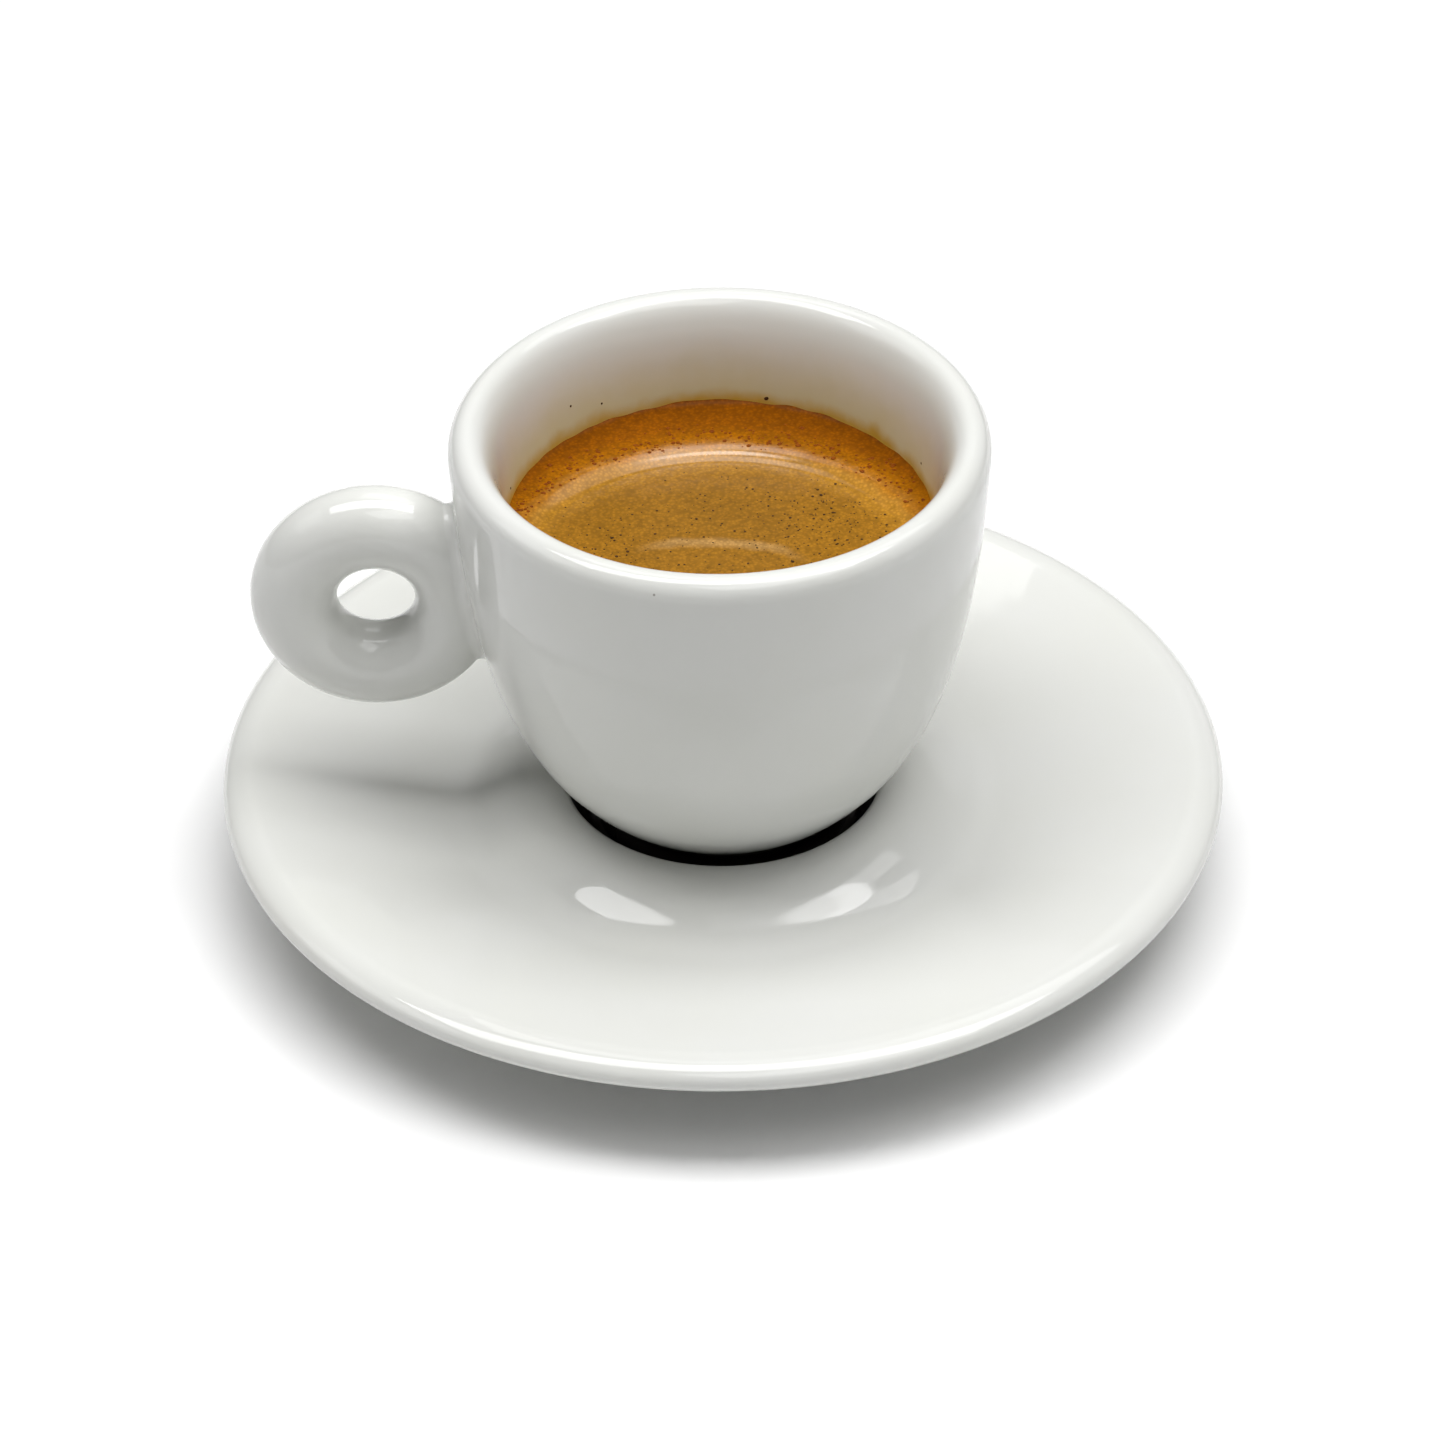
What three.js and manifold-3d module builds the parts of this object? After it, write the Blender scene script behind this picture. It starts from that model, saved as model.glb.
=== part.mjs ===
// Espresso in a thick porcelain cup with a ring handle, standing in the well of its saucer.
// Millimetres, +Z up. The origin is the centre of the saucer's foot on the table, and the cup's axis is Z.
import * as THREE from "three";
import { mergeVertices } from "three/addons/utils/BufferGeometryUtils.js";
import Module from "manifold-3d";

// A point of an outline: its distance from the axis and its height.
const point = (radius, height) => new THREE.Vector2(radius, height);

// Saucer
const SAUCER_RADIUS = 60;
const SAUCER_EDGE_ROUND = 2;
const SAUCER_EDGE_HEIGHT = 12;
const SAUCER_FOOT_INNER = 30.6;
const SAUCER_FOOT_OUTER = 33.8;
const SAUCER_FOOT_ROUND = 0.5;
const SAUCER_FOOT_ROOT_INNER = point(28.6, 3.2);
const SAUCER_FOOT_ROOT_OUTER = point(34.4, 5.2);
const FLANGE_OUTER_PULL = point(50, 12.5);
const FLANGE_INNER_PULL = point(42, 11);
const VALLEY = point(33.2, 9.6);
const COLLAR_LOW_PULL = point(26.5, 8.6);
const COLLAR_HIGH_PULL = point(25.5, 12.8);
const COLLAR_TOP = point(19.9, 12.8);
const WELL_LIP = point(19.2, 12.3);
const WELL_FLOOR_RADIUS = 16.3;
const WELL_FLOOR_HEIGHT = 7;

// Cup
const CUP_FOOT_OUTER = 14.6;
const CUP_FOOT_INNER = 11.2;
const CUP_FOOT_ROUND = 0.6;
const CUP_FOOT_HEIGHT = 3.8;
const CUP_RECESS_RADIUS = 10.2;
const CUP_RECESS_DEPTH = 1.4;
const CUP_BELLY_LOW_PULL = point(22.7, 17.7);
const CUP_BELLY_HIGH_PULL = point(30.05, 25.5);
const CUP_RIM_RADIUS = 31.5;
const CUP_RIM_ROUND = 2;
const CUP_RIM_HEIGHT = 60.1;
const CUP_INSIDE_HIGH_PULL = point(23.8, 44);
const CUP_INSIDE_LOW_PULL = point(22.5, 16);
const CUP_INSIDE_FLOOR = 16;

// Ring handle, a flattened ring that is sunk into the cup's wall on the -X side
const HANDLE_REACH = 40.7;
const HANDLE_HEIGHT = 38.3;
const HANDLE_RING_RADIUS = 9.75;
const HANDLE_TUBE_RADIUS = 5.13;
const HANDLE_TUBE_FLATNESS = 0.9;

// Drink
const ESPRESSO_LEVEL = 48.7;

// Clearance between pieces, and how finely the round shapes are divided
const FIT_GAP = 0.3;
const TURN_SEGMENTS = 64;
const HANDLE_RING_SEGMENTS = 36;
const HANDLE_TUBE_SEGMENTS = 14;
const CORNER_STEPS = 2;
const EDGE_STEPS = 6;
const FLANGE_STEPS = 4;
const COLLAR_STEPS = 7;
const CUP_WALL_STEPS = 9;
const ESPRESSO_WALL_STEPS = 7;
const MERGE_DISTANCE = 1e-3;

// Colours and gloss
const PORCELAIN = { color: 0xf1f2ee, roughness: 0.08, metalness: 0 };
const CREMA = { color: 0xa26c24, roughness: 0.3, metalness: 0 };

const cupBase = WELL_FLOOR_HEIGHT + FIT_GAP;

// An arc of an outline between two angles in degrees, where 0 points away from the axis.
function arc(radius, height, size, from, to, steps) {
  const start = THREE.MathUtils.degToRad(from);
  const end = THREE.MathUtils.degToRad(to);
  return new THREE.EllipseCurve(radius, height, size, size, start, end).getPoints(steps);
}

function bezier(start, startPull, endPull, end, steps) {
  return new THREE.CubicBezierCurve(start, startPull, endPull, end).getPoints(steps);
}

// Turns an outline about Z. It runs from the axis along the underside, up outside and back over the top.
function turned(outline) {
  const distinct = (p, i) => i === 0 || p.distanceTo(outline[i - 1]) > MERGE_DISTANCE;
  return new THREE.LatheGeometry(outline.filter(distinct), TURN_SEGMENTS).rotateX(Math.PI / 2);
}

// The standing ring under a piece, from its inner corner to its outer one.
function footRing(inner, outer, base, round) {
  return [
    ...arc(inner + round, base + round, round, 180, 270, CORNER_STEPS),
    ...arc(outer - round, base + round, round, 270, 360, CORNER_STEPS),
  ];
}

function saucerGeometry() {
  const edgeCentre = SAUCER_RADIUS - SAUCER_EDGE_ROUND;
  const edge = arc(edgeCentre, SAUCER_EDGE_HEIGHT, SAUCER_EDGE_ROUND, -90, 90, EDGE_STEPS);
  return turned([
    point(0, SAUCER_FOOT_ROOT_INNER.y),
    SAUCER_FOOT_ROOT_INNER,
    ...footRing(SAUCER_FOOT_INNER, SAUCER_FOOT_OUTER, 0, SAUCER_FOOT_ROUND),
    SAUCER_FOOT_ROOT_OUTER,
    ...edge,
    ...bezier(edge.at(-1), FLANGE_OUTER_PULL, FLANGE_INNER_PULL, VALLEY, FLANGE_STEPS),
    ...bezier(VALLEY, COLLAR_LOW_PULL, COLLAR_HIGH_PULL, COLLAR_TOP, COLLAR_STEPS),
    WELL_LIP,
    point(WELL_FLOOR_RADIUS, WELL_FLOOR_HEIGHT),
    point(0, WELL_FLOOR_HEIGHT),
  ]);
}

// The inside of the cup, from the rim down to the middle of its floor.
const cupInside = new THREE.CubicBezierCurve(
  point(CUP_RIM_RADIUS - 2 * CUP_RIM_ROUND, CUP_RIM_HEIGHT),
  CUP_INSIDE_HIGH_PULL,
  CUP_INSIDE_LOW_PULL,
  point(0, CUP_INSIDE_FLOOR),
);

function cupBodyGeometry() {
  const bellyStart = point(CUP_FOOT_OUTER, cupBase + CUP_FOOT_HEIGHT);
  const bellyEnd = point(CUP_RIM_RADIUS, CUP_RIM_HEIGHT);
  return turned([
    point(0, cupBase + CUP_RECESS_DEPTH),
    point(CUP_RECESS_RADIUS, cupBase + CUP_RECESS_DEPTH),
    ...footRing(CUP_FOOT_INNER, CUP_FOOT_OUTER, cupBase, CUP_FOOT_ROUND),
    ...bezier(bellyStart, CUP_BELLY_LOW_PULL, CUP_BELLY_HIGH_PULL, bellyEnd, CUP_WALL_STEPS),
    ...arc(CUP_RIM_RADIUS - CUP_RIM_ROUND, CUP_RIM_HEIGHT, CUP_RIM_ROUND, 0, 180, EDGE_STEPS),
    ...cupInside.getPoints(CUP_WALL_STEPS),
  ]);
}

function handleGeometry() {
  return new THREE.TorusGeometry(
    HANDLE_RING_RADIUS,
    HANDLE_TUBE_RADIUS,
    HANDLE_TUBE_SEGMENTS,
    HANDLE_RING_SEGMENTS,
  )
    .scale(1, 1, HANDLE_TUBE_FLATNESS)
    .rotateX(Math.PI / 2)
    .translate(-HANDLE_REACH, 0, HANDLE_HEIGHT);
}

const wasm = await Module();
wasm.setup();

// A closed geometry as a solid, with its shared corners merged and the slivers at the axis dropped.
function solid(geometry) {
  const bare = geometry.clone();
  bare.deleteAttribute("normal");
  bare.deleteAttribute("uv");
  const merged = mergeVertices(bare, MERGE_DISTANCE);
  const triVerts = [];
  for (let i = 0; i < merged.index.count; i += 3) {
    const corners = merged.index.array.slice(i, i + 3);
    if (new Set(corners).size === 3) {
      triVerts.push(...corners);
    }
  }
  return new wasm.Manifold(
    new wasm.Mesh({
      numProp: 3,
      vertProperties: merged.attributes.position.array,
      triVerts: new Uint32Array(triVerts),
    }),
  );
}

function geometryOf(body) {
  const mesh = body.getMesh();
  const geometry = new THREE.BufferGeometry();
  geometry.setAttribute("position", new THREE.BufferAttribute(mesh.vertProperties, mesh.numProp));
  geometry.setIndex(new THREE.BufferAttribute(mesh.triVerts, 1));
  geometry.computeVertexNormals();
  return geometry;
}

function cupGeometry() {
  return geometryOf(solid(cupBodyGeometry()).add(solid(handleGeometry())));
}

// How far along the inside curve, from 0 at the rim to 1 at the floor, it comes down to a height.
function insideAt(height) {
  let [above, below] = [0, 1];
  for (let halving = 0; halving < 30; halving += 1) {
    const middle = (above + below) / 2;
    if (cupInside.getPoint(middle).y > height) {
      above = middle;
    } else {
      below = middle;
    }
  }
  return below;
}

// The drink fills the inside of the cup up to its level, a small gap clear of the wall.
function espressoGeometry() {
  const surface = insideAt(ESPRESSO_LEVEL);
  const outline = [];
  for (let i = 0; i <= ESPRESSO_WALL_STEPS; i += 1) {
    const wall = cupInside.getPoint(THREE.MathUtils.lerp(1, surface, i / ESPRESSO_WALL_STEPS));
    outline.push(
      point(Math.max(wall.x - FIT_GAP, 0), Math.min(wall.y + FIT_GAP, ESPRESSO_LEVEL)),
    );
  }
  return turned([...outline, point(0, ESPRESSO_LEVEL)]);
}

function piece(name, geometry, finish) {
  const mesh = new THREE.Mesh(geometry, new THREE.MeshStandardMaterial(finish));
  mesh.name = name;
  return mesh;
}

const espressoShot = new THREE.Group();
espressoShot.add(piece("saucer", saucerGeometry(), PORCELAIN));
espressoShot.add(piece("cup", cupGeometry(), PORCELAIN));
espressoShot.add(piece("espresso", espressoGeometry(), CREMA));

export default espressoShot;
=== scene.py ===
"""Looks of an espresso in a thick porcelain cup with a ring handle, standing in the well of its saucer.

Shapes are worked out in millimetres, in the CAD frame, and become metres where a mesh is made.
"""

import math

import bmesh
import bpy
import numpy as np
from mathutils import Matrix, Vector


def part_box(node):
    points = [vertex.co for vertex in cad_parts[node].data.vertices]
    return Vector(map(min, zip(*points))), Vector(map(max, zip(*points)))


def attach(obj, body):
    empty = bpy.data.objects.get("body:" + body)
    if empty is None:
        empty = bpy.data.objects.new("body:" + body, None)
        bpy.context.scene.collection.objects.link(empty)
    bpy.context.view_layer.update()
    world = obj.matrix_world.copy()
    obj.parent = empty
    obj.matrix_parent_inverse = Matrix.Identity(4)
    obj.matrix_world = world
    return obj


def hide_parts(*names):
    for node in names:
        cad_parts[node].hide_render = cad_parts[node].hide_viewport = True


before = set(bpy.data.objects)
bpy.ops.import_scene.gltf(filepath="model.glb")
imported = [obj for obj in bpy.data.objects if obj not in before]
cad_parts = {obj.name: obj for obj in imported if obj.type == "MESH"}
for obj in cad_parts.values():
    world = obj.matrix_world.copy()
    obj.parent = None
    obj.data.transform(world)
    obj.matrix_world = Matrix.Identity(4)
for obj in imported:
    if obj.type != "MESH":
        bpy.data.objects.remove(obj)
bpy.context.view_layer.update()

MM = 0.001
SAME_POINT = 1e-4
SEED = 7
rng = np.random.default_rng(SEED)

# Sizes read from the CAD model
_, saucer_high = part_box("saucer")
cup_low, cup_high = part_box("cup")
_, espresso_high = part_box("espresso")
RIM_FLARE = 0.3
RIM_DROP = 0.2
SAUCER_RADIUS = saucer_high.x / MM
SAUCER_TOP = saucer_high.z / MM
CUP_RADIUS = cup_high.x / MM + RIM_FLARE
CUP_BASE = cup_low.z / MM
CUP_TOP = cup_high.z / MM - RIM_DROP
CREMA_LEVEL = espresso_high.z / MM

# Saucer outline, as (distance from the axis, height)
SAUCER_COLUMNS = 360
EDGE_ROUND = (3.4, 2.0)
EDGE_DROP = 0.1
EDGE_HEIGHT = SAUCER_TOP - EDGE_ROUND[1] - EDGE_DROP
EDGE_ANGLES = (-86, 92)
SAUCER_FOOT = (30.6, 33.8)
SAUCER_FOOT_ROUND = 0.5
SAUCER_UNDERSIDE = 3.2
UNDERSIDE_END = (27.0, SAUCER_UNDERSIDE)
FOOT_INNER_PULLS = ((29.4, SAUCER_UNDERSIDE), (30.2, 2.6))
FOOT_OUTER_PULLS = ((34.0, 3.4), (35.2, 5.0))
BELOW_FLANGE = (37.5, 5.6)
BELOW_FLANGE_PULLS = ((44.0, 7.2), (52.0, 9.2))
FLANGE_TOP_PULL = (50.0, 12.55)
FLANGE_LOW_PULL = (42.0, 11.0)
VALLEY_ROUND = 8.5
VALLEY_BOTTOM = (32.3, 9.35)
VALLEY_INNER_SLOPE = 27.0
VALLEY_OUTER_SLOPE = 9.0
COLLAR_TOP = (19.75, 12.75)
COLLAR_PULL = (24.4, 12.55)
COLLAR_START_PULL = 3.2
LIP_ROUND = 0.9
LIP_ANGLES = (90, 205)
WELL_WALL_SLANT = 0.5
WELL_FLOOR_RADIUS = 16.3
WELL_FLOOR = 7.0
WELL_CORNER = 1.2

# Cup outline
CUP_COLUMNS = 288
CUP_FOOT = (11.6, 15.3)
CUP_FOOT_ROUND = 0.6
CUP_FOOT_HEIGHT = 3.8
CUP_RECESS_DEPTH = 1.4
CUP_RECESS_INSET = 1.2
CUP_RECESS_ROUND = (0.4, 0.3)
BELLY_LOW_PULL = (22.9, 17.5)
BELLY_HIGH_PULL = (30.05, 25.5)
RIM_OUTER_ROUND = (2.2, 2.6)
RIM_INNER_PULLS = ((27.7, CUP_TOP), (26.5, 59.4))
INSIDE_TOP = (25.8, 54.5)
INSIDE_HIGH_PULL = (24.65, 46.1)
INSIDE_LOW_PULL = (22.5, 16.0)
INSIDE_FLOOR = 16.0

# Ring handle
RING_REACH = 40.85
RING_HEIGHT = 38.9
RING_RADIUS = 9.75
TUBE_IN_PLANE = 5.13
TUBE_ACROSS = 4.62
FILLET_ON_WALL = 2.3
FILLET_ON_RING = 1.5
FILLET_WALL_PULL = 0.75
FILLET_RING_PULL = 0.08
WINDOW_COLUMNS = 12
WINDOW_HEIGHTS = (25.0, 52.0)
WALL_REFERENCE = 29.4
RING_SCALE = 12.0
TUBE_SCALE = 4.9
WALL_LOOPS = 5
FILLET_LOOPS = 9
RING_LOOPS = 45
RING_LOOP_SPACING = 1.25
HALVINGS = 40
NUDGE = 0.01

# Crema: a disc of fresh foam, a step lower than the older foam behind it
CREMA_COLUMNS = 480
CREMA_RINGS = 130
CREMA_RING_SPACING = 1.35
CREMA_INTO_WALL = 0.15
CREMA_THICKNESS = 1.0
MENISCUS_WIDTH = 0.4
MENISCUS_HEIGHT = 0.28
MENISCUS_UNEVENNESS = 0.7
MENISCUS_SHARPNESS = 0.8
MENISCUS_WAVES = range(3, 48)
MENISCUS_WAVE_FADE = 0.7
DISC_CENTRE = (0.0, -10.0)
DISC_RADIUS = 25.1
STEP_HEIGHT = 0.85
STEP_WIDTH = 1.0
RIPPLE_CENTRE = (-2.0, -25.2)
RIPPLE_RADIUS = 22.6
RIPPLE_HEIGHT = 0.08
RIPPLE_WIDTH = 1.0
RIPPLE_REACH = 9.0

# Small things on the crema and the wall. Sizes are (middle, spread, smallest, largest) radii.
LUMP_STRETCH = (0.75, 1.3)
CREMA_MARGIN = 0.6
BUBBLE_COUNT = 800
BUBBLE_TURN = (-0.15 * math.pi, 1.15 * math.pi)
BUBBLE_BAND = 2.6
BUBBLE_BAND_SPREAD = 1.3
BUBBLE_CLEARANCE = 0.7
BUBBLE_SIZES = (0.13, 0.45, 0.05, 0.32)
BUBBLE_THICKNESS = 0.35
FINES_CLEARANCE = 1.0
FINES_SIZES = (0.09, 0.35, 0.04, 0.2)
FINES_THICKNESS = 0.4
SPLASH_THICKNESS = 0.3
SPLASH_TILT = 0.17

# Clusters of fines: middle, spread and how many
FINES_CLUSTERS = (
    ((13.0, 1.0), 4.5, 240),
    ((-14.0, -3.0), 3.5, 110),
    ((0.0, 2.0), 9.0, 150),
    ((2.0, -14.0), 9.0, 160),
)

# Splashes: degrees round the cup, height above the crema and radius
SPLASHES = (
    (133.7, 4.2, 0.15),
    (123.5, 2.7, 0.13),
    (77.0, 0.9, 0.26),
    (20.0, 2.2, 0.14),
    (168.0, 1.6, 0.17),
    (212.0, 3.1, 0.13),
    (251.0, 1.4, 0.2),
    (300.0, 2.4, 0.15),
    (338.0, 3.6, 0.12),
)

# Where the painted shade in the gap round the cup's foot begins, a dark colour standing in for the shadow
# in the saucer's well: inside the collar's top, above the underside, beside the foot's top
PAINTED_WELL_SHADE_INSET = (0.6, 1.1)
PAINTED_WELL_SHADE_ABOVE = (1.0, 2.0)
PAINTED_FOOT_SHADE_FADE = (0.6, -0.2)

# Film of crema on the wall, by height above the drink
FILM_INSIDE = (3.0, 2.4)
FILM_START = (-2.0, -1.5)
FILM_RAGGED = 0.6
THIN_FILM_TOP = 9.0
THIN_FILM_SHARE = 0.5
THICK_FILM_TOP = 2.4
THICK_FILM_SHARE = 0.9

# Reach of the crema's colours to both sides of the disc's edge, and how they, the painted highlight along
# the ripple and the disc's wetness spread
ZONE_REACH = 10.0
DRIFT = 2.2
RIPPLE_HIGHLIGHT_WIDTH = (1.3, 0.1)
RIPPLE_HIGHLIGHT_SHARE = 0.34
RIPPLE_HIGHLIGHT_ENDS = (11.0, 5.0)
WET_ENDS = (14.0, 6.0)

# Colours, in linear light
PORCELAIN = (0.74, 0.745, 0.72)
CLOUDED = (0.7289, 0.7338, 0.6984)
PINHOLE = (0.16, 0.14, 0.11)
FLOOR_WHITE = (0.89, 0.89, 0.89, 1)
# Painted shade: a dark colour for the saucer's well and the cup's foot, standing in for the shadow in the
# gap between them
PAINTED_GAP_SHADE = (0.05, 0.045, 0.04)
THIN_FILM = (0.56, 0.47, 0.02)
THICK_FILM = (0.54, 0.31, 0.01)
# Painted highlight: a pale colour along the ripple, standing in for its reflection
PAINTED_RIPPLE_HIGHLIGHT = (0.62, 0.40, 0.17)


def arc(centre, size, start, end, steps):
    """Points of an elliptic arc between two angles in degrees, where 0 points away from the axis."""
    angles = np.radians(np.linspace(start, end, steps + 1))
    across, up = size if isinstance(size, tuple) else (size, size)
    return np.column_stack([centre[0] + across * np.cos(angles), centre[1] + up * np.sin(angles)])


def bezier(start, start_pull, end_pull, end, steps):
    t = np.linspace(0, 1, steps + 1)[:, None]
    p = [np.asarray(q, float) for q in (start, start_pull, end_pull, end)]
    return (1 - t) ** 3 * p[0] + 3 * (1 - t) ** 2 * t * p[1] + 3 * (1 - t) * t**2 * p[2] + t**3 * p[3]


def straight(start, end, steps):
    t = np.linspace(0, 1, steps + 1)[:, None]
    return np.asarray(start, float) * (1 - t) + np.asarray(end, float) * t


def joined(*stretches):
    """One outline from several, without the points that two neighbours share."""
    points = np.vstack(stretches)
    apart = np.r_[True, np.linalg.norm(np.diff(points, axis=0), axis=1) > SAME_POINT]
    return points[apart]


def foot_ring(inner, outer, base, size):
    return joined(
        arc((inner + size, base + size), size, 180, 270, steps=5),
        arc((outer - size, base + size), size, 270, 360, steps=5),
    )


def saucer_outline():
    """From the middle of the underside, out over the edge and back to the middle of the well."""
    edge_centre = (SAUCER_RADIUS - EDGE_ROUND[0], EDGE_HEIGHT)
    edge = arc(edge_centre, EDGE_ROUND, *EDGE_ANGLES, steps=20)
    valley_centre = (VALLEY_BOTTOM[0], VALLEY_BOTTOM[1] + VALLEY_ROUND)
    valley_angles = (270 + VALLEY_OUTER_SLOPE, 270 - VALLEY_INNER_SLOPE)
    valley = arc(valley_centre, VALLEY_ROUND, *valley_angles, steps=14)
    foot = foot_ring(*SAUCER_FOOT, 0, SAUCER_FOOT_ROUND)
    slope = math.tan(math.radians(VALLEY_INNER_SLOPE))
    collar_start = valley[-1]
    start_pull = collar_start + COLLAR_START_PULL * np.array([-1, slope])
    lip_centre = (COLLAR_TOP[0], COLLAR_TOP[1] - LIP_ROUND)
    lip = arc(lip_centre, LIP_ROUND, *LIP_ANGLES, steps=8)
    well_wall_foot = (WELL_FLOOR_RADIUS + WELL_WALL_SLANT, WELL_FLOOR + WELL_CORNER)
    well_floor_edge = (WELL_FLOOR_RADIUS - WELL_CORNER, WELL_FLOOR)
    corner = (WELL_FLOOR_RADIUS, WELL_FLOOR)
    return joined(
        straight((0, SAUCER_UNDERSIDE), UNDERSIDE_END, steps=8),
        bezier(UNDERSIDE_END, *FOOT_INNER_PULLS, foot[0], steps=8),
        foot,
        bezier(foot[-1], *FOOT_OUTER_PULLS, BELOW_FLANGE, steps=8),
        bezier(BELOW_FLANGE, *BELOW_FLANGE_PULLS, edge[0], steps=14),
        edge,
        bezier(edge[-1], FLANGE_TOP_PULL, FLANGE_LOW_PULL, valley[0], steps=26),
        valley,
        bezier(collar_start, start_pull, COLLAR_PULL, COLLAR_TOP, steps=16),
        lip,
        straight(lip[-1], well_wall_foot, steps=6),
        bezier(well_wall_foot, corner, corner, well_floor_edge, steps=6),
        straight(well_floor_edge, (0, WELL_FLOOR), steps=6),
    )


def cup_outside(steps=64):
    start = (CUP_FOOT[1], CUP_BASE + CUP_FOOT_HEIGHT)
    end = (CUP_RADIUS, CUP_TOP - RIM_OUTER_ROUND[1])
    return bezier(start, BELLY_LOW_PULL, BELLY_HIGH_PULL, end, steps)


def cup_inside(steps=48):
    return bezier(INSIDE_TOP, INSIDE_HIGH_PULL, INSIDE_LOW_PULL, (0, INSIDE_FLOOR), steps)


def cup_outline():
    """From the middle of the underside, up the outside, over the rim and down to the inside's middle."""
    foot = foot_ring(*CUP_FOOT, CUP_BASE, CUP_FOOT_ROUND)
    recess_height = CUP_BASE + CUP_RECESS_DEPTH
    recess_edge = (CUP_FOOT[0] - CUP_RECESS_INSET, recess_height)
    recess_pull = (CUP_FOOT[0] - CUP_RECESS_ROUND[0], recess_height)
    foot_pull = (CUP_FOOT[0], recess_height - CUP_RECESS_ROUND[1])
    rim_centre = (CUP_RADIUS - RIM_OUTER_ROUND[0], CUP_TOP - RIM_OUTER_ROUND[1])
    return joined(
        straight((0, recess_height), recess_edge, steps=4),
        bezier(recess_edge, recess_pull, foot_pull, foot[0], steps=5),
        foot,
        straight(foot[-1], cup_outside()[0], steps=5),
        cup_outside(),
        arc(rim_centre, RIM_OUTER_ROUND, 0, 90, steps=12),
        bezier((rim_centre[0], CUP_TOP), *RIM_INNER_PULLS, INSIDE_TOP, steps=24),
        cup_inside(),
    )


def mesh_object(name, points, faces, material):
    """A smooth closed mesh from points in millimetres, with doubled points merged and faces turned out."""
    mesh = bpy.data.meshes.new(name)
    mesh.from_pydata((np.asarray(points) * MM).tolist(), [], faces)
    work = bmesh.new()
    work.from_mesh(mesh)
    bmesh.ops.remove_doubles(work, verts=work.verts, dist=SAME_POINT * MM)
    bmesh.ops.dissolve_degenerate(work, edges=work.edges, dist=SAME_POINT * MM / 10)
    bmesh.ops.recalc_face_normals(work, faces=work.faces)
    work.to_mesh(mesh)
    work.free()
    mesh.polygons.foreach_set("use_smooth", [True] * len(mesh.polygons))
    mesh.materials.append(material)
    piece = bpy.data.objects.new(name, mesh)
    bpy.context.scene.collection.objects.link(piece)
    return piece


def turned_points(outline, columns):
    """The outline at each column of a full turn, as an array of rows, columns and coordinates."""
    turn = np.arange(columns) * 2 * math.pi / columns
    radius, height = outline[:, 0][:, None], outline[:, 1][:, None]
    return np.stack([radius * np.cos(turn), radius * np.sin(turn), height + 0 * turn], axis=-1)


def grid_faces(index):
    """Quads between neighbouring rows and columns of a grid of point numbers that closes on itself."""
    right = np.roll(index, -1, axis=1)
    quads = np.stack([index[:-1], right[:-1], right[1:], index[1:]], axis=-1)
    return quads.reshape(-1, 4)


def turned(name, outline, columns, material):
    points = turned_points(outline, columns)
    index = np.arange(points.shape[0] * columns).reshape(points.shape[0], columns)
    return mesh_object(name, points.reshape(-1, 3), grid_faces(index).tolist(), material)


# Cup with its handle
fine_outside = cup_outside(4000)


def wall_point(across, height):
    """Points on the outside of the cup on its handle side, by distance along the wall and height."""
    radius = np.interp(height, fine_outside[:, 1], fine_outside[:, 0])
    turn = math.pi - across / WALL_REFERENCE
    return np.stack([radius * np.cos(turn), radius * np.sin(turn), height], axis=-1)


def ring_point(along, around):
    """Points on the ring handle, by distance along the ring and around its tube, 0 facing the cup."""
    turn = along / RING_SCALE
    tube = around / TUBE_SCALE
    reach = RING_RADIUS + TUBE_IN_PLANE * np.cos(tube)
    x = -RING_REACH + reach * np.cos(turn)
    z = RING_HEIGHT + reach * np.sin(turn)
    return np.stack([x, TUBE_ACROSS * np.sin(tube), z], axis=-1)


def inside_ring(points):
    """Below zero where a point lies inside the ring's tube."""
    x, y, z = points[..., 0] + RING_REACH, points[..., 1], points[..., 2] - RING_HEIGHT
    out = np.hypot(x, z) - RING_RADIUS
    return np.hypot(out / TUBE_IN_PLANE, y / TUBE_ACROSS) - 1


def rectangle_loop(low, high, columns, rows):
    """Points round a rectangle: up its right side first, then left, down and right, evenly spaced."""
    (left, bottom), (right, top) = low, high
    loop = [
        straight((right, bottom), (right, top), rows)[:-1],
        straight((right, top), (left, top), columns)[:-1],
        straight((left, top), (left, bottom), rows)[:-1],
        straight((left, bottom), (right, bottom), columns)[:-1],
    ]
    return np.vstack(loop)


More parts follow.
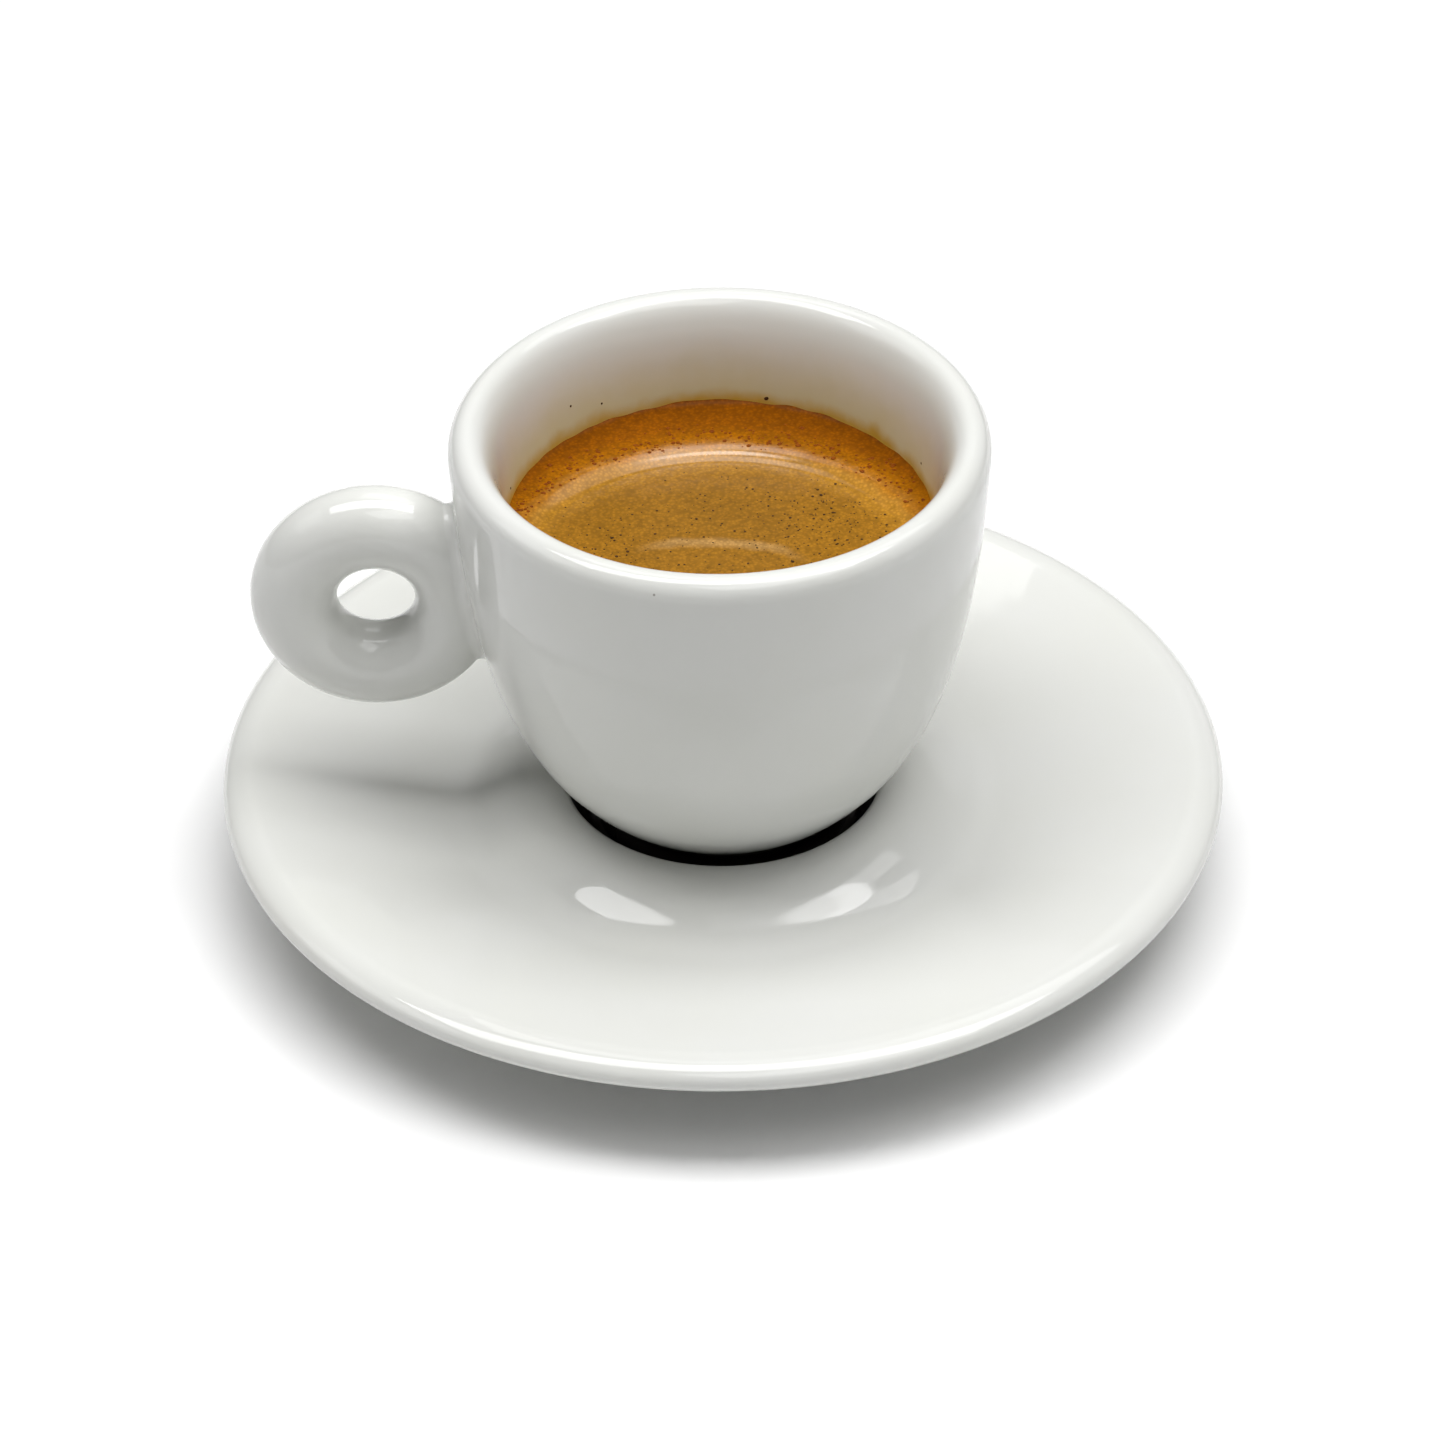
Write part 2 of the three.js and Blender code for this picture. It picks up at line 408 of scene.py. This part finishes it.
def cup_piece(material):
    """The cup's body and ring handle as one closed mesh with a fillet where they meet."""
    outline = cup_outline()
    body = turned_points(outline, CUP_COLUMNS)
    index = np.arange(body.shape[0] * CUP_COLUMNS).reshape(body.shape[0], CUP_COLUMNS)

    # The window in the body's grid that the handle grows out of
    below_rim = outline[:, 1] < CUP_TOP - RIM_OUTER_ROUND[1]
    outer_rows = np.flatnonzero((outline[:, 0] > CUP_FOOT[1]) & below_rim)[: len(cup_outside())]
    heights = outline[outer_rows, 1]
    low_row = outer_rows[np.searchsorted(heights, WINDOW_HEIGHTS[0])]
    high_row = outer_rows[np.searchsorted(heights, WINDOW_HEIGHTS[1])]
    middle = CUP_COLUMNS // 2
    first, last = middle - WINDOW_COLUMNS, middle + WINDOW_COLUMNS
    rows = high_row - low_row
    columns = last - first
    keep = np.ones((body.shape[0] - 1, CUP_COLUMNS), bool)
    keep[low_row:high_row, first:last] = False
    faces = grid_faces(index)[keep.reshape(-1)].tolist()

    # The window's border, in order: up one side, across the top, down and back
    border = np.concatenate([
        index[low_row:high_row, first],
        index[high_row, first:last],
        index[low_row + 1 : high_row + 1, last][::-1],
        index[low_row, first + 1 : last + 1][::-1],
    ])
    flat_body = body.reshape(-1, 3)
    turn = np.arctan2(flat_body[border, 1], flat_body[border, 0]) % (2 * math.pi)
    across = (math.pi - turn) * WALL_REFERENCE
    up = flat_body[border, 2] - RING_HEIGHT
    length = np.hypot(across, up)
    ray = np.column_stack([across, up]) / length[:, None]

    def on_wall(distance):
        return wall_point(ray[:, 0] * distance, RING_HEIGHT + ray[:, 1] * distance)

    # Where each ray leaves the ring's tube, by halving
    near, far = np.zeros(len(ray)), length.copy()
    for _ in range(HALVINGS):
        half = (near + far) / 2
        within = inside_ring(on_wall(half)) < 0
        near, far = np.where(within, half, near), np.where(within, far, half)
    meeting = on_wall(near)
    wall_start = near + FILLET_ON_WALL

    # The same rays on the ring, from the meeting line to the ring's far side
    x, z = meeting[:, 0] + RING_REACH, meeting[:, 2] - RING_HEIGHT
    along = np.arctan2(z, x) * RING_SCALE
    tube = np.arctan2(meeting[:, 1] / TUBE_ACROSS, (np.hypot(x, z) - RING_RADIUS) / TUBE_IN_PLANE)
    around = tube * TUBE_SCALE
    reach = np.hypot(along, around)
    ring_ray = np.column_stack([along, around]) / reach[:, None]
    ring_start = ring_ray * (reach + FILLET_ON_RING)[:, None]
    half_ring, half_tube = math.pi * RING_SCALE, math.pi * TUBE_SCALE
    far_side = rectangle_loop((-half_tube, -half_ring), (half_tube, half_ring), columns, rows)[:, ::-1]

    loops = []
    for step in np.linspace(0, 1, WALL_LOOPS + 1)[1:]:
        loops.append(on_wall(length * (1 - step) + wall_start * step))
    wall_edge = loops[-1]
    wall_pull = on_wall(wall_start - NUDGE) - wall_edge
    wall_pull /= np.linalg.norm(wall_pull, axis=1)[:, None]
    ring_edge = ring_point(ring_start[:, 0], ring_start[:, 1])
    ring_back = ring_start - ring_ray * NUDGE
    ring_pull = ring_point(ring_back[:, 0], ring_back[:, 1]) - ring_edge
    ring_pull /= np.linalg.norm(ring_pull, axis=1)[:, None]
    span = np.linalg.norm(wall_edge - ring_edge, axis=1)[:, None]
    for t in np.linspace(0, 1, FILLET_LOOPS + 1)[1:-1]:
        loops.append(
            (1 - t) ** 3 * wall_edge
            + 3 * (1 - t) ** 2 * t * (wall_edge + wall_pull * span * FILLET_WALL_PULL)
            + 3 * (1 - t) * t**2 * (ring_edge + ring_pull * span * FILLET_RING_PULL)
            + t**3 * ring_edge
        )
    for t in np.linspace(0, 1, RING_LOOPS + 1) ** RING_LOOP_SPACING:
        place = ring_start * (1 - t) + far_side * t
        loops.append(ring_point(place[:, 0], place[:, 1]))

    count = len(border)
    extra = np.arange(len(loops) * count).reshape(len(loops), count) + len(flat_body)
    strip = np.vstack([border[None, :], extra])
    faces += grid_faces(strip).tolist()
    points = np.vstack([flat_body, np.vstack(loops)])
    return mesh_object("cup_body", points, faces, material)


# Drink
def inside_radius(height):
    wall = cup_inside(2000)[::-1]
    return np.interp(height, wall[:, 1], wall[:, 0])


CREMA_RADIUS = float(inside_radius(CREMA_LEVEL))
EDGE_WAVES = [
    (k, rng.uniform(0, 2 * math.pi), rng.normal() / k**MENISCUS_WAVE_FADE) for k in MENISCUS_WAVES
]


def crema_edge(turn):
    """How high the crema clings to the wall, in millimetres above its level, round the cup."""
    wave = sum(size * np.sin(k * turn + phase) for k, phase, size in EDGE_WAVES)
    return MENISCUS_HEIGHT * (1 + MENISCUS_UNEVENNESS * np.tanh(MENISCUS_SHARPNESS * wave))


def into_disc(x, y):
    """Distance inside the edge of the disc of fresh foam, below zero outside it."""
    return DISC_RADIUS - np.hypot(x - DISC_CENTRE[0], y - DISC_CENTRE[1])


def crema_height(x, y):
    """Height of the crema's top, with the step at the disc's edge, a ripple and a climb at the wall."""
    step = STEP_HEIGHT / (1 + np.exp(into_disc(x, y) / STEP_WIDTH * 2)) - STEP_HEIGHT
    from_ripple = np.hypot(x - RIPPLE_CENTRE[0], y - RIPPLE_CENTRE[1]) - RIPPLE_RADIUS
    beside_ripple = (x - RIPPLE_CENTRE[0]) / RIPPLE_REACH
    ripple = RIPPLE_HEIGHT * np.exp(-((from_ripple / RIPPLE_WIDTH) ** 2) - beside_ripple**4)
    radius = np.hypot(x, y)
    climb = crema_edge(np.arctan2(y, x)) * np.exp((radius - CREMA_RADIUS) / MENISCUS_WIDTH)
    return CREMA_LEVEL + step + ripple + climb


def espresso_piece(material):
    """The drink up to its crema, which reaches just into the wall."""
    turn = np.arange(CREMA_COLUMNS) * 2 * math.pi / CREMA_COLUMNS
    share = 1 - (1 - np.linspace(0, 1, CREMA_RINGS)) ** CREMA_RING_SPACING
    radius = (share * (CREMA_RADIUS + CREMA_INTO_WALL))[:, None]
    x, y = radius * np.cos(turn), radius * np.sin(turn)
    top = np.stack([x, y, crema_height(x, y)], axis=-1)
    wall = cup_inside()
    below = wall[wall[:, 1] < CREMA_LEVEL - CREMA_THICKNESS] + np.array([CREMA_INTO_WALL, 0])
    below[-1] = (0, INSIDE_FLOOR - CREMA_INTO_WALL)
    points = np.concatenate([top, turned_points(below, CREMA_COLUMNS)])
    index = np.arange(points.shape[0] * CREMA_COLUMNS).reshape(points.shape[0], CREMA_COLUMNS)
    return mesh_object("espresso_crema", points.reshape(-1, 3), grid_faces(index).tolist(), material)


# Small things on the crema and the wall
def unit_ball():
    """Points and faces of a small ball of radius 1."""
    work = bmesh.new()
    bmesh.ops.create_icosphere(work, subdivisions=2, radius=1)
    points = np.array([v.co for v in work.verts])
    faces = np.array([[v.index for v in f.verts] for f in work.faces])
    work.free()
    return points, faces


def lumps(name, places, outward, sizes, thickness, material):
    """Many small uneven lumps as one mesh, each lying flat on the surface that outward points away from."""
    ball, ball_faces = unit_ball()
    points, faces = [], []
    for place, out, size in zip(places, outward, sizes):
        stretch = np.array([*rng.uniform(*LUMP_STRETCH, 2), thickness]) * size
        lie = np.array(Vector(out).to_track_quat("Z", "Y").to_matrix())
        spin = np.array(Matrix.Rotation(rng.uniform(0, 2 * math.pi), 3, "Z"))
        faces.append(ball_faces + len(ball) * len(points))
        points.append(ball * stretch @ spin.T @ lie.T + place)
    return mesh_object(name, np.vstack(points), np.vstack(faces).tolist(), material)


def on_crema(x, y):
    return np.column_stack([x, y, crema_height(x, y)])


def within_crema(x, y):
    return np.hypot(x, y) < CREMA_RADIUS - CREMA_MARGIN


def scattered_sizes(count, middle, spread, smallest, largest):
    return np.clip(rng.lognormal(math.log(middle), spread, count), smallest, largest)


def upward(count):
    return np.tile((0.0, 0.0, 1.0), (count, 1))


def crema_bubbles(material):
    """Small brown bubbles in the older foam, mostly in a band along the edge of the disc."""
    turn = rng.uniform(*BUBBLE_TURN, BUBBLE_COUNT)
    out = BUBBLE_BAND + BUBBLE_BAND_SPREAD * rng.normal(size=BUBBLE_COUNT)
    x = DISC_CENTRE[0] + (DISC_RADIUS + out) * np.cos(turn)
    y = DISC_CENTRE[1] + (DISC_RADIUS + out) * np.sin(turn)
    good = within_crema(x, y) & (out > BUBBLE_CLEARANCE)
    places = on_crema(x[good], y[good])
    sizes = scattered_sizes(len(places), *BUBBLE_SIZES)
    return lumps("crema_bubbles", places, upward(len(places)), sizes, BUBBLE_THICKNESS, material)


def crema_fines(material):
    """Dark coffee fines on the fresh foam, in loose clusters."""
    spots = [rng.normal(middle, spread, (count, 2)) for middle, spread, count in FINES_CLUSTERS]
    x, y = np.vstack(spots).T
    good = within_crema(x, y) & (into_disc(x, y) > FINES_CLEARANCE)
    places = on_crema(x[good], y[good])
    sizes = scattered_sizes(len(places), *FINES_SIZES)
    return lumps("crema_fines", places, upward(len(places)), sizes, FINES_THICKNESS, material)


def wall_splashes(material):
    """Tiny dried splashes on the inside of the wall above the crema."""
    degrees, above, sizes = np.array(SPLASHES).T
    turn = np.radians(degrees)
    heights = CREMA_LEVEL + above
    around = np.column_stack([np.cos(turn), np.sin(turn)])
    places = np.column_stack([around * inside_radius(heights)[:, None], heights])
    outward = np.column_stack([-around, np.full(len(turn), SPLASH_TILT)])
    return lumps("wall_splashes", places, outward, sizes, SPLASH_THICKNESS, material)


# Materials
class Nodes:
    """Short calls for building a material's nodes. Lengths in them are millimetres."""

    def __init__(self, name):
        self.material = bpy.data.materials.new(name)
        self.material.use_nodes = True
        self.tree = self.material.node_tree
        self.shader = self.tree.nodes["Principled BSDF"]

    def add(self, kind, **settings):
        node = self.tree.nodes.new(kind)
        for key, value in settings.items():
            setattr(node, key, value)
        return node

    def feed(self, socket, value):
        if isinstance(value, bpy.types.NodeSocket):
            self.tree.links.new(value, socket)
        else:
            socket.default_value = value

    def set(self, **values):
        for key, value in values.items():
            self.feed(self.shader.inputs[key.replace("_", " ")], value)

    def place(self):
        """The point on the object, in millimetres."""
        return self.vector("SCALE", self.add("ShaderNodeTexCoord").outputs["Object"], scale=1 / MM)

    def vector(self, operation, first, second=None, scale=None):
        node = self.add("ShaderNodeVectorMath", operation=operation)
        self.feed(node.inputs[0], first)
        if second is not None:
            self.feed(node.inputs[1], second)
        if scale is not None:
            self.feed(node.inputs["Scale"], scale)
        return node.outputs["Value" if operation == "LENGTH" else "Vector"]

    def axis(self, place, name):
        node = self.add("ShaderNodeSeparateXYZ")
        self.feed(node.inputs[0], place)
        return node.outputs[name]

    def distance(self, place, centre=(0, 0)):
        """Distance from an upright line through centre."""
        away = self.vector("SUBTRACT", place, (*centre, 0))
        return self.vector("LENGTH", self.vector("MULTIPLY", away, (1, 1, 0)))

    def math(self, operation, first, second=0.0):
        node = self.add("ShaderNodeMath", operation=operation)
        self.feed(node.inputs[0], first)
        self.feed(node.inputs[1], second)
        return node.outputs["Value"]

    def noise(self, place, size, detail=2.0, output="Fac"):
        """Smooth noise with features about as large as size."""
        node = self.add("ShaderNodeTexNoise")
        self.feed(node.inputs["Vector"], place)
        node.inputs["Scale"].default_value = 1 / size
        node.inputs["Detail"].default_value = detail
        return node.outputs[output]

    def cells(self, place, size):
        """Distance to the nearest of many scattered points, and a random colour for each."""
        node = self.add("ShaderNodeTexVoronoi")
        self.feed(node.inputs["Vector"], place)
        node.inputs["Scale"].default_value = 1 / size
        return node.outputs["Distance"], node.outputs["Color"]

    def between(self, value, start, end, low=0.0, high=1.0, smooth=True):
        """Goes from low where value is start to high where it is end."""
        node = self.add("ShaderNodeMapRange", interpolation_type="SMOOTHSTEP" if smooth else "LINEAR")
        for socket, given in zip(node.inputs, (value, start, end, low, high)):
            self.feed(socket, given)
        return node.outputs["Result"]

    def ramp(self, factor, *stops):
        node = self.add("ShaderNodeValToRGB")
        elements = node.color_ramp.elements
        while len(elements) < len(stops):
            elements.new(1.0)
        for element, (position, colour) in zip(elements, stops):
            element.position = position
            element.color = (*colour, 1)
        self.feed(node.inputs["Fac"], factor)
        return node.outputs["Color"]

    def mix(self, factor, first, second, blend="MIX"):
        node = self.add("ShaderNodeMix", data_type="RGBA", blend_type=blend)
        for socket, given in zip((node.inputs[0], node.inputs[6], node.inputs[7]), (factor, first, second)):
            self.feed(socket, (*given, 1) if isinstance(given, tuple) else given)
        return node.outputs[2]

    def bump(self, height, strength, distance):
        node = self.add("ShaderNodeBump")
        node.inputs["Strength"].default_value = strength
        node.inputs["Distance"].default_value = distance * MM
        self.feed(node.inputs["Height"], height)
        return node.outputs["Normal"]


def glaze(n, place):
    """White glaze with faint clouds, sparse pinholes and a slightly wavy surface. Gives its colour."""
    cloud = n.noise(place, size=17.0, detail=3.0)
    white = n.ramp(cloud, (0.3, CLOUDED), (0.7, PORCELAIN))
    distance, chance = n.cells(place, size=6.0)
    chosen = n.math("GREATER_THAN", chance, 0.72)
    pinhole = n.math("MULTIPLY", n.between(distance, 0.035, 0.015, high=0.7), chosen)
    smears = n.noise(place, size=5.0, detail=4.0)
    waves = n.noise(place, size=7.0, detail=1.0)
    n.set(Roughness=n.between(smears, 0.3, 0.7, low=0.03, high=0.07), IOR=1.5)
    n.set(Normal=n.bump(waves, strength=0.12, distance=0.3))
    return n.mix(pinhole, white, PINHOLE)


def saucer_material():
    """The glaze, with the well painted dark as shade, which shows only as a dark gap round the cup's foot.
    """
    n = Nodes("saucer_glaze")
    place = n.place()
    white = glaze(n, place)
    # Painted shade: the well is coloured dark where the gap round the cup's foot lies in shadow
    in_well = n.between(n.distance(place), *(COLLAR_TOP[0] - inset for inset in PAINTED_WELL_SHADE_INSET))
    above = n.between(n.axis(place, "Z"), *(SAUCER_UNDERSIDE + up for up in PAINTED_WELL_SHADE_ABOVE))
    n.set(Base_Color=n.mix(n.math("MULTIPLY", in_well, above), white, PAINTED_GAP_SHADE))
    return n.material


def cup_material():
    """The glaze, with a thin film of crema left on the wall above the drink and the foot painted dark as
    shade for the gap in the saucer's well.
    """
    n = Nodes("cup_glaze")
    place = n.place()
    height = n.axis(place, "Z")
    white = glaze(n, place)

    inside = n.between(n.distance(place), *(CREMA_RADIUS + reach for reach in FILM_INSIDE))
    from_level = n.between(height, *(CREMA_LEVEL + start for start in FILM_START))
    filmed = n.math("MULTIPLY", inside, from_level)
    uneven = n.noise(place, size=5.0, detail=3.0)
    ragged = n.between(uneven, 0.3, 0.7, -FILM_RAGGED, FILM_RAGGED, smooth=False)
    above_drink = n.math("ADD", n.math("SUBTRACT", height, CREMA_LEVEL), ragged)
    thin = n.between(above_drink, THIN_FILM_TOP, 0.0, high=THIN_FILM_SHARE)
    thick = n.between(above_drink, THICK_FILM_TOP, 0.0, high=THICK_FILM_SHARE)
    wall = n.mix(n.math("MULTIPLY", thin, filmed), white, THIN_FILM)
    wall = n.mix(n.math("MULTIPLY", thick, filmed), wall, THICK_FILM)

    # Painted shade: the foot is coloured dark where it stands in the shadow of the saucer's well
    foot_top = CUP_BASE + CUP_FOOT_HEIGHT
    foot = n.between(height, *(foot_top + fade for fade in PAINTED_FOOT_SHADE_FADE))
    n.set(Base_Color=n.mix(foot, wall, PAINTED_GAP_SHADE))
    return n.material


def crema_material():
    """Wet foam: orange-brown where it is older, tan on the fresh disc, golden where the two meet."""
    n = Nodes("crema")
    place = n.place()
    drift = n.vector("SUBTRACT", n.noise(place, size=4.0, detail=3.0, output="Color"), (0.5, 0.5, 0.5))
    warped = n.vector("ADD", place, n.vector("SCALE", drift, scale=DRIFT))
    inward = n.math("SUBTRACT", DISC_RADIUS, n.distance(warped, DISC_CENTRE))
    zone = n.between(inward, -ZONE_REACH, ZONE_REACH, smooth=False)
    colour = n.ramp(
        zone,
        (0.0, (0.20, 0.054, 0.0)),
        (0.25, (0.25, 0.072, 0.0)),
        (0.4, (0.345, 0.118, 0.0)),
        (0.46, (0.42, 0.165, 0.01)),
        (0.5, (0.48, 0.226, 0.028)),
        (0.57, (0.40, 0.183, 0.01)),
        (0.7, (0.303, 0.135, 0.009)),
    )

    # A painted highlight along the ripple: a pale streak in the colour that stands in for its reflection
    off_ripple = n.math("SUBTRACT", n.distance(warped, RIPPLE_CENTRE), RIPPLE_RADIUS)
    beside = n.math("ABSOLUTE", n.axis(place, "X"))
    on_ripple = n.between(n.math("ABSOLUTE", off_ripple), *RIPPLE_HIGHLIGHT_WIDTH, high=RIPPLE_HIGHLIGHT_SHARE)
    ripple_highlight = n.math("MULTIPLY", on_ripple, n.between(beside, *RIPPLE_HIGHLIGHT_ENDS))
    colour = n.mix(ripple_highlight, colour, PAINTED_RIPPLE_HIGHLIGHT)

    # Patches, mottling and the small cells of the foam
    patches = n.between(n.noise(place, size=9.0, detail=1.0), 0.3, 0.7, 0.92, 1.06)
    mottle = n.between(n.noise(place, size=1.0, detail=5.0), 0.3, 0.7, 0.85, 1.13, smooth=False)
    distance, _ = n.cells(place, size=0.42)
    foam = n.between(distance, 0.1, 0.65, 1.16, 0.8, smooth=False)
    grain = n.math("MULTIPLY", patches, n.math("MULTIPLY", mottle, foam))
    n.set(Base_Color=n.mix(1.0, colour, grain, "MULTIPLY"))
    n.set(Normal=n.bump(distance, strength=0.25, distance=0.04), Roughness=0.45, Specular_IOR_Level=0.05)

    # Wettest on the step, in the middle of its arc
    wet = n.math("MULTIPLY", n.between(zone, 0.36, 0.47), n.between(zone, 0.7, 0.55, low=0.25))
    n.set(Coat_Weight=n.math("MULTIPLY", wet, n.between(beside, *WET_ENDS, low=0.3)))
    n.set(Coat_Roughness=0.13, Coat_IOR=1.8)
    return n.material


def speck_material(name, dark, light):
    n = Nodes(name)
    n.set(Base_Color=n.ramp(n.noise(n.place(), size=0.5), (0.35, dark), (0.65, light)))
    n.set(Roughness=0.5, Specular_IOR_Level=0.1)
    return n.material


# Stage, in metres
FLOOR_RADIUS = 0.45
FLOOR_CORNERS = 128


def floor():
    n = Nodes("floor")
    n.set(Base_Color=FLOOR_WHITE, Roughness=0.9, Specular_IOR_Level=0.1)
    turn = np.arange(FLOOR_CORNERS) * 2 * math.pi / FLOOR_CORNERS
    corners = FLOOR_RADIUS * np.column_stack([np.cos(turn), np.sin(turn), 0 * turn])
    mesh = bpy.data.meshes.new("floor")
    mesh.from_pydata(corners.tolist(), [], [list(range(FLOOR_CORNERS))])
    mesh.materials.append(n.material)
    plane = bpy.data.objects.new("floor", mesh)
    bpy.context.scene.collection.objects.link(plane)


# Soft boxes: name, place, width and depth in metres, and brightness
SOFT_BOXES = (
    ("overhead", (0, 0, 1.0), (1.35, 0.45), 5.8),
    ("front_right", (0.3, -0.45, 1.0), (0.9, 0.45), 2.3),
    ("behind", (0.2, 0.45, 1.0), (0.9, 0.45), 1.95),
    ("high_behind", (0, 0.95, 0.75), (0.7, 0.45), 0.2),
    ("left", (-0.95, 0, 0.75), (0.8, 0.45), 1.0),
    ("low_behind", (0.35, 1.2, 0.3), (1.4, 0.5), 0.34),
)
LIGHT_AIM = (0, 0, 0.03)


def studio():
    scene = bpy.context.scene
    scene.view_settings.view_transform = "Standard"
    world = bpy.data.worlds.new("studio")
    scene.world = world
    world.use_nodes = True
    backdrop = world.node_tree.nodes["Background"]
    backdrop.inputs["Color"].default_value = (1, 1, 1, 1)
    light_path = world.node_tree.nodes.new("ShaderNodeLightPath")
    world.node_tree.links.new(light_path.outputs["Is Camera Ray"], backdrop.inputs["Strength"])
    for name, place, (width, depth), brightness in SOFT_BOXES:
        light = bpy.data.lights.new(name, "AREA")
        light.shape = "RECTANGLE"
        light.size, light.size_y = width, depth
        light.energy = brightness * width * depth * math.pi
        lamp = bpy.data.objects.new(name, light)
        lamp.location = place
        lamp.rotation_euler = (Vector(LIGHT_AIM) - Vector(place)).to_track_quat("-Z", "Y").to_euler()
        lamp.visible_camera = False
        scene.collection.objects.link(lamp)


# Camera, in metres and degrees
CAMERA_PLACE = (0, -0.809, 0.6166)
CAMERA_PITCH = 36.4
CAMERA_ROLL = -0.6
CAMERA_LENS = 209.3
CAMERA_SENSOR = 36
CAMERA_SHIFT = -0.0031
CAMERA_REACH = 50


def camera():
    pitch, roll = math.radians(CAMERA_PITCH), math.radians(CAMERA_ROLL)
    forward = Vector((0, math.cos(pitch), -math.sin(pitch)))
    up = Vector((0, math.sin(pitch), math.cos(pitch)))
    right = Vector((1, 0, 0))
    turned_right = right * math.cos(roll) + up * math.sin(roll)
    turned_up = up * math.cos(roll) - right * math.sin(roll)
    data = bpy.data.cameras.new("camera")
    data.lens = CAMERA_LENS
    data.sensor_width = CAMERA_SENSOR
    data.shift_y = CAMERA_SHIFT
    data.clip_end = CAMERA_REACH
    eye = bpy.data.objects.new("camera", data)
    turn = Matrix((turned_right, turned_up, -forward)).transposed()
    eye.matrix_world = Matrix.Translation(CAMERA_PLACE) @ turn.to_4x4()
    bpy.context.scene.collection.objects.link(eye)
    bpy.context.scene.camera = eye


saucer = turned("saucer_plate", saucer_outline(), SAUCER_COLUMNS, saucer_material())
cup = cup_piece(cup_material())
espresso = espresso_piece(crema_material())
bubble_look = speck_material("bubble_brown", (0.16, 0.034, 0.0), (0.24, 0.058, 0.0))
fines_look = speck_material("coffee_fines", (0.028, 0.013, 0.004), (0.085, 0.036, 0.009))
splash_look = speck_material("dried_splash", (0.03, 0.012, 0.004), (0.08, 0.035, 0.01))

# Each piece with the node that it takes the place of, and its slot
PIECES = (
    (saucer, "saucer", "saucer_porcelain"),
    (cup, "cup", "cup_porcelain"),
    (espresso, "espresso", "espresso"),
    (crema_bubbles(bubble_look), None, "espresso"),
    (crema_fines(fines_look), None, "espresso"),
    (wall_splashes(splash_look), None, "espresso"),
)
for piece, node, slot in PIECES:
    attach(piece, "root")
    if node:
        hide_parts(node)
floor()
studio()
camera()
